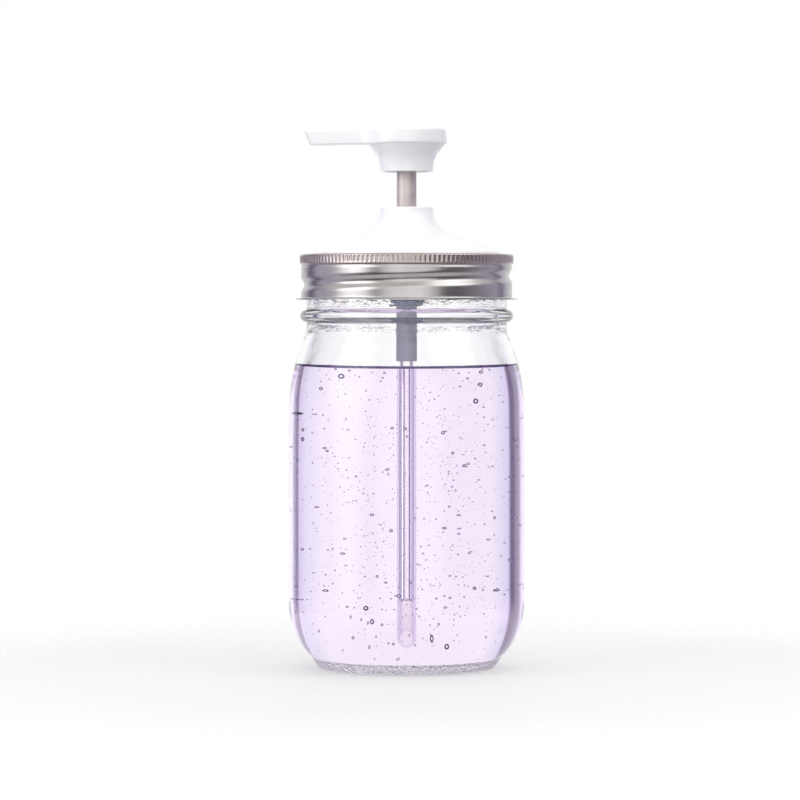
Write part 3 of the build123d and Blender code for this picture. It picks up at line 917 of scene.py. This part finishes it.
def head_plan():
    """The head seen from above, anticlockwise: a round plate that runs into a nozzle arm."""
    root, tip = NOZZLE_HALF
    along = Vector((-NOZZLE_REACH, tip - root)).normalized()
    out = Vector((along.y, -along.x))
    reach = out.dot(Vector((0, root))) + NOZZLE_BLEND
    radius = PLATE_R + NOZZLE_BLEND
    centre = out * reach + along * sqrt(radius**2 - reach**2)
    on_arm = centre - out * NOZZLE_BLEND
    on_plate = centre * (PLATE_R / radius)
    between = centre - ((centre - on_arm) + (centre - on_plate)).normalized() * NOZZLE_BLEND
    start = atan2(on_plate.y, on_plate.x)
    plate = [
        (PLATE_R * cos(a), PLATE_R * sin(a))
        for a in (start * (1 - k / 56) for k in range(57))
    ]
    blend = arc(tuple(on_plate), tuple(between), tuple(on_arm), 14)
    arm = straight(tuple(on_arm), (-NOZZLE_REACH + 2.2, tip), 1.0)
    corner = rounded(
        [(-NOZZLE_REACH + 2.2, tip, 0), (-NOZZLE_REACH, tip, 1.9), (-NOZZLE_REACH, 0, 0)], 8
    )
    upper = without_repeats(list(reversed(plate)) + blend + arm + corner)
    lower = [(x, -y) for x, y in reversed(upper[1:-1])]
    return upper + lower


def make_plate():
    """Points and faces of the plate and arm, with rounded edges and a sloping tip."""
    plan = [Vector(p) for p in head_plan()]
    count = len(plan)
    inward = []
    for i in range(count):
        along = (plan[(i + 1) % count] - plan[i - 1]).normalized()
        inward.append(Vector((-along.y, along.x)))
    bottom, top, edge, foot = PLATE_Z, HEAD_TOP_Z, 1.3, 0.45
    layers = [(foot * (1 - sin(a)), bottom + foot * (1 - cos(a))) for a in
              (pi / 2 * k / 4 for k in range(5))]
    layers += [(0.12, bottom + 1.6), (0.26, top - edge - 0.4)]
    layers += [(0.3 + edge * (1 - cos(a)), top - edge * (1 - sin(a))) for a in
               (pi / 2 * k / 8 for k in range(9))]
    points, faces = [], []
    for inset, z in layers:
        for p, n in zip(plan, inward):
            q = p + n * inset
            near_tip = smoothstep((-q.x - 22.0) / 9.0)
            x = q.x + near_tip * (top - z) * tan(TIP_SLOPE)
            droop = 0.45 * min(max((-q.x - 4.0) / 30.0, 0.0), 1.0)
            points.append((x, q.y, z - droop))
    for k in range(len(layers) - 1):
        for i in range(count):
            n = (i + 1) % count
            faces.append([k * count + i, k * count + n, (k + 1) * count + n, (k + 1) * count + i])
    faces.append(list(reversed(range(count))))
    faces.append([len(points) - count + i for i in range(count)])
    return points, faces


def make_skirt():
    """Points and faces of the trumpet skirt with the stem's post inside it."""
    low = HEAD_BOTTOM_Z
    outside = spline(
        [(8.8, low + 0.5), (9.02, 166.9), (9.5, 168.9), (10.2, 170.2), (11.3, 171.5),
         (12.8, PLATE_Z + 0.02)], 6, (0, 1), (0.9, 1),
    )
    profile = rounded([(7.5, low, 0.1), (8.8, low, 0.3), (8.8, low + 0.31, 0)], 4)
    profile += outside + [(12.4, PLATE_Z + 0.8), (0, PLATE_Z + 0.8), (0, 171.03)]
    profile += [(2.73, 171.03), (2.73, 168.03), (3.28, 168.03)]
    profile += rounded([(3.28, 168.0, 0), (3.28, low + 0.2, 0.15), (4.6, low + 0.2, 0.2),
                        (4.6, 171.0, 0.4), (7.5, 171.0, 0.4), (7.5, low + 0.2, 0)], 4)
    return turned(without_repeats(profile), 160, closed=True)


def cut_with(target, tool, operation):
    """Applies a boolean of tool to target, and removes the tool."""
    change = target.modifiers.new("join", "BOOLEAN")
    change.operation = operation
    change.solver = "EXACT"
    change.object = tool
    bpy.context.view_layer.update()
    evaluated = target.evaluated_get(bpy.context.evaluated_depsgraph_get())
    mesh = bpy.data.meshes.new_from_object(evaluated)
    clean = bmesh.new()
    clean.from_mesh(mesh)
    bmesh.ops.remove_doubles(clean, verts=clean.verts, dist=0.002 * MM)
    bmesh.ops.dissolve_degenerate(clean, edges=clean.edges, dist=0.002 * MM)
    bmesh.ops.holes_fill(clean, edges=clean.edges, sides=0)
    clean.to_mesh(mesh)
    clean.free()
    target.modifiers.clear()
    target.data = mesh
    bpy.data.objects.remove(tool)


def loose(name, points, faces):
    """A plain mesh object, from points in millimetres, that is no piece of the object."""
    mesh = bpy.data.meshes.new(name)
    mesh.from_pydata([tuple(c * MM for c in p) for p in points], [], faces)
    made = bpy.data.objects.new(name, mesh)
    bpy.context.scene.collection.objects.link(made)
    return made


def make_head():
    """The pump head: plate and nozzle arm, trumpet skirt, and the outlet in the tip."""
    points, faces = make_plate()
    head = piece("pump_head_nozzle", points, faces, "pump_head", [WHITE])
    cut_with(head, loose("skirt", *make_skirt()), "UNION")
    riser_r = CHANNEL_R - 0.15
    riser = [(0, RISER_FOOT_Z), (riser_r, RISER_FOOT_Z), (riser_r, CHANNEL_Z), (0, CHANNEL_Z)]
    cut_with(head, loose("riser", *turned(riser, 40)), "DIFFERENCE")
    length = NOZZLE_REACH + 5.0
    channel = [(0, 0), (CHANNEL_R, 0), (CHANNEL_R, length), (0, length)]
    points, faces = turned(channel, 48)
    along_arm = [(0.37 - z, y, x + CHANNEL_Z - 0.3) for x, y, z in points]
    cut_with(head, loose("channel", along_arm, faces), "DIFFERENCE")
    head.data.polygons.foreach_set("use_smooth", [True] * len(head.data.polygons))
    head.data.set_sharp_from_angle(angle=radians(38.0))
    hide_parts("actuator_head")


def finish_hidden_nodes():
    """Materials for the CAD nodes that stay as they are."""
    looks = {
        "lid_seal": SEAL, "housing_gasket": SEAL, "stem_wiper": SEAL, "stem_guide": WHITE,
        "inlet_ball": BALL, "outlet_ball": BALL, "ball_cage": NATURAL, "piston_base": NATURAL,
        "piston_stem": NATURAL, "piston_seal": PISTON,
    }
    for name, look in looks.items():
        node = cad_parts[name]
        for place in node.material_slots:
            place.material = look


# ---- Studio ------------------------------------------------------------------------------

def make_world():
    """Studio light by direction: white behind, pale above, violet gaps, panels and softboxes."""
    world = bpy.data.worlds.new("studio")
    world.use_nodes = True
    tree = world.node_tree
    background = tree.nodes["Background"]

    def add(kind, *values, **settings):
        made = tree.nodes.new(kind)
        for key, value in settings.items():
            setattr(made, key, value)
        for socket, value in zip(made.inputs, values):
            if isinstance(value, bpy.types.NodeSocket):
                tree.links.new(value, socket)
            elif value is not None:
                socket.default_value = value
        return made

    def math(operation, *values):
        return add("ShaderNodeMath", *values, operation=operation).outputs["Value"]

    def ramp(factor, stops):
        made = add("ShaderNodeValToRGB", factor)
        elements = made.color_ramp.elements
        while len(elements) < len(stops):
            elements.new(0.5)
        for element, (at, colour) in zip(elements, stops):
            element.position = at
            element.color = (*colour, 1.0)
        return made.outputs["Color"]

    def softbox(colour, towards, inner, outer, level):
        """Adds a round soft light, towards a direction, that fades from inner to outer degrees."""
        dot = add(
            "ShaderNodeVectorMath", direction, Vector(towards).normalized(),
            operation="DOT_PRODUCT",
        ).outputs["Value"]
        share = add(
            "ShaderNodeMapRange", dot, cos(radians(outer)), cos(radians(inner)), 0.0, level,
            interpolation_type="SMOOTHSTEP",
        ).outputs["Result"]
        both = add("ShaderNodeMixRGB", 1.0, colour, share, blend_type="ADD")
        return both.outputs["Color"]

    direction = add("ShaderNodeTexCoord").outputs["Generated"]
    split = add("ShaderNodeSeparateXYZ", direction)
    x, y, z = (split.outputs[i] for i in range(3))
    turn = math("ADD", math("DIVIDE", math("ARCTAN2", x, y), 2 * pi), 0.5)
    height = math("ADD", math("MULTIPLY", z, 0.5), 0.5)
    white = (1.0, 1.0, 1.0)
    side = (0.74, 0.72, 0.9)
    dark = (0.14, 0.11, 0.19)
    panel = (0.66, 0.62, 0.8)
    front = (0.08, 0.072, 0.1)
    back = [
        (-62, panel), (-56, dark), (-43, dark), (-41, side), (-28, white), (28, white),
        (48, side), (50, dark), (57, dark), (60, panel),
    ]
    reflected = [
        (-180, front), (-140, front), (-118, (0.3, 0.29, 0.34)), (-98, (0.62, 0.6, 0.7)), *back,
        (90, (0.42, 0.4, 0.48)), (114, (0.22, 0.21, 0.25)), (138, front), (180, front),
    ]
    through = [(-180, white), (-112, white), (-95, panel), *back, (95, panel), (112, white),
               (180, white)]
    refracted = add("ShaderNodeLightPath").outputs["Is Transmission Ray"]
    around = add(
        "ShaderNodeMixRGB", refracted,
        *(ramp(turn, [(0.5 + angle / 360, colour) for angle, colour in degrees])
          for degrees in (reflected, through)),
    ).outputs["Color"]
    above = ramp(height, [(0.68, (0, 0, 0)), (0.8, (1, 1, 1))])
    light = add("ShaderNodeMixRGB", above, around, (0.88, 0.88, 0.88, 1.0)).outputs["Color"]
    for towards, inner, outer, level in (
        ((-0.84, -0.5, 0.3), 10, 30, 2.6),
        ((0.72, -0.4, 0.7), 10, 30, 1.6),
        ((0.05, -0.99, 0.12), 14, 42, 1.3),
    ):
        light = softbox(light, towards, inner, outer, level)
    tree.links.new(light, background.inputs["Color"])
    direct = add("ShaderNodeLightPath").outputs["Is Camera Ray"]
    plain = add("ShaderNodeBackground", (1.0, 1.0, 1.0, 1.0))
    chosen = add("ShaderNodeMixShader", direct, background.outputs[0], plain.outputs[0])
    tree.links.new(chosen.outputs[0], tree.nodes["World Output"].inputs["Surface"])
    bpy.context.scene.world = world


def make_floor():
    """A round pale floor that the light washes out, and that fades away towards its rim."""
    n = Nodes("studio_floor")
    n.set(
        Base_Color=n.ramp(n.noise(3.0), [(0.3, (0.47, 0.47, 0.47)), (0.7, (0.49, 0.49, 0.49))]),
        Roughness=0.7,
        Emission_Color=(1.0, 1.0, 1.0, 1.0),
        Emission_Strength=0.4,
    )
    clear = n.add("ShaderNodeBsdfTransparent").outputs["BSDF"]
    out = n.add("ShaderNodeVectorMath", {0: n.place()}, operation="LENGTH").outputs["Value"]
    start, end = (r * MM for r in STUDIO_FLOOR_FADE)
    fade = n.add(
        "ShaderNodeMapRange", {"Value": out, "From Min": start, "From Max": end},
        interpolation_type="SMOOTHSTEP",
    ).outputs["Result"]
    mixed = n.add("ShaderNodeMixShader", {0: fade, 1: n.shader.outputs["BSDF"], 2: clear})
    n.put(n.output.inputs["Surface"], mixed.outputs["Shader"])
    steps = 96
    rim = [(STUDIO_FLOOR_R * cos(2 * pi * k / steps), STUDIO_FLOOR_R * sin(2 * pi * k / steps),
            STUDIO_FLOOR_Z) for k in range(steps)]
    floor = loose("floor", rim, [list(range(steps))])
    floor.data.materials.append(n.material)


def make_camera():
    """A long lens a little above the soap, looking slightly down."""
    data = bpy.data.cameras.new("camera")
    data.lens = 162.0
    data.sensor_width = 36.0
    camera = bpy.data.objects.new("camera", data)
    aim_x = -0.0022
    camera.location = (aim_x, -1.194, 0.1215)
    target = Vector((aim_x, 0.0, 0.0886))
    camera.rotation_euler = (target - camera.location).to_track_quat("-Z", "Y").to_euler()
    bpy.context.scene.collection.objects.link(camera)
    bpy.context.scene.camera = camera


def set_paths():
    """Enough bounces for light to cross glass, soap, tube and bubbles, and plain colours."""
    scene = bpy.context.scene
    scene.view_settings.view_transform = "Standard"
    bounces = 24
    scene.cycles.max_bounces = bounces
    scene.cycles.transmission_bounces = bounces
    scene.cycles.transparent_max_bounces = bounces
    scene.cycles.glossy_bounces = 8


make_camera()
make_world()
make_floor()
set_paths()
make_jar()
make_soap()
make_band()
make_dome()
make_sleeve()
make_housing()
make_tube()
make_spring()
make_head()
finish_hidden_nodes()
